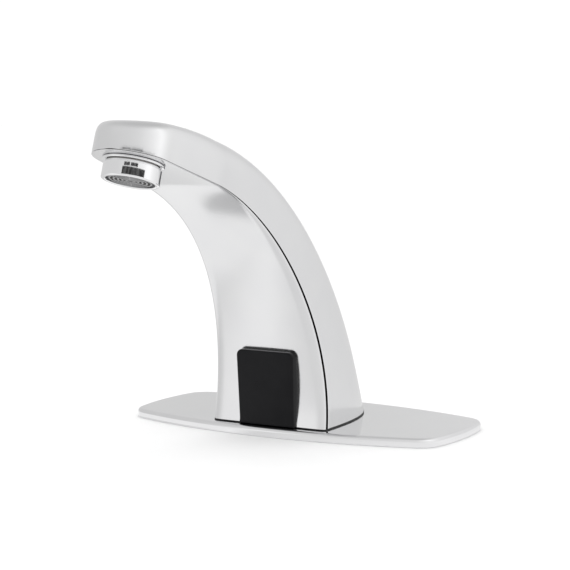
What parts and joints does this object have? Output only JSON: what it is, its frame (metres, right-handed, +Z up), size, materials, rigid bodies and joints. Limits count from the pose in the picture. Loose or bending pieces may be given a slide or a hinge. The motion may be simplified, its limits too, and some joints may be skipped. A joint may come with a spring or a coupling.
{
  "type": "sensor tap",
  "caption": "Deck-mounted sensor tap: arched chromed spout on a bowed deck plate, black sensor window in its foot, screw-on aerator, solenoid valve inside.",
  "frame": {"origin": "centre of the deck plate's hole, on the counter", "axes": "+Z up, +Y to the back, the spout reaches towards -Y, +X along the deck plate"},
  "size_m": [0.1666, 0.2019, 0.148],
  "materials": {
    "shell_chrome": "polished, nickel under chrome",
    "cover_chrome": "polished, nickel under chrome",
    "plate_chrome": "polished, nickel under chrome",
    "collar_chrome": "polished, nickel under chrome",
    "ring_chrome": "polished",
    "brass": "machined",
    "steel": "plain machined stainless steel",
    "black_rubber": "moulded, matt",
    "window_black": "polished, passes infra-red only",
    "case_plastic": "moulded, fine texture",
    "white_plastic": "moulded acetal",
    "board_green": "solder mask",
    "led_clear": "clear moulded lens, tinted",
    "coil_black": "moulded over the winding",
    "tube_plastic": "extruded cross-linked polyethylene",
    "grid_grey": "moulded acetal",
    "lead_black": "cable sheath"
  },
  "bodies": {
    "body": {"deck_plate": "plate_chrome", "deck_gasket": "black_rubber", "foot_gasket": "black_rubber", "rear_shell": "shell_chrome", "front_cover": "cover_chrome", "sensor_window": "window_black", "window_gasket": "black_rubber", "sensor_case": "case_plastic", "sensor_board": "board_green", "ir_emitter": "led_clear", "ir_receiver": "led_clear", "light_baffle": "case_plastic", "status_led": "led_clear", "sensor_screws": "steel", "solenoid_lead": "lead_black", "base_block": "brass", "base_screws": "steel", "cable_gland": "case_plastic", "inlet_filter": "steel", "check_valve_body": "white_plastic", "check_spring": "steel", "inlet_seal": "black_rubber", "valve_body": "white_plastic", "valve_screws": "steel", "diaphragm": "black_rubber", "bonnet": "white_plastic", "bonnet_screws": "steel", "core_tube": "steel", "core_stop": "steel", "plunger_spring": "steel", "solenoid_coil": "coil_black", "solenoid_yoke": "steel", "outlet_tube": "tube_plastic", "outlet_fitting": "brass", "head_screws": "steel", "nipple_nut": "ring_chrome"},
    "aerator": {"aerator_cartridge": "case_plastic", "aerator_screens": "steel", "flow_regulator": "white_plastic", "aerator_washer": "black_rubber", "outlet_grid": "grid_grey"},
    "collar": {"aerator_collar": "collar_chrome"},
    "plunger": {"plunger": "steel"},
    "diaphragm_centre": {"diaphragm_insert": "white_plastic"},
    "poppet": {"check_poppet": "white_plastic"}
  },
  "joints": [
    {"name": "aerator_drop", "type": "slide", "parent": "body", "child": "aerator", "axis": [0, -0.3156, -0.9489], "range_m": [0, 0.0035]},
    {"name": "collar_turn", "type": "hinge", "parent": "aerator", "child": "collar", "pos_m": [0, -0.14305, 0.1308], "axis": [0, -0.3156, -0.9489], "range_deg": [0, 1260]},
    {"name": "plunger_pull", "type": "slide", "parent": "body", "child": "plunger", "axis": [1, 0, 0], "range_m": [0, 0.0016], "stiffness_N_per_m": 90, "springref_m": -0.002, "deforming": ["plunger_spring"]},
    {"name": "diaphragm_lift", "type": "slide", "parent": "body", "child": "diaphragm_centre", "axis": [1, 0, 0], "range_m": [0, 0.001], "deforming": ["diaphragm"]},
    {"name": "check_lift", "type": "slide", "parent": "body", "child": "poppet", "axis": [0, 0, 1], "range_m": [0, 0.0012], "stiffness_N_per_m": 20, "springref_m": -0.004, "deforming": ["check_spring"]}
  ],
  "couplings": [
    {"joint": "collar_turn", "follows": "aerator_drop", "rad_per_m": 6283.2},
    {"joint": "diaphragm_lift", "follows": "plunger_pull", "ratio": 0.5625}
  ]
}
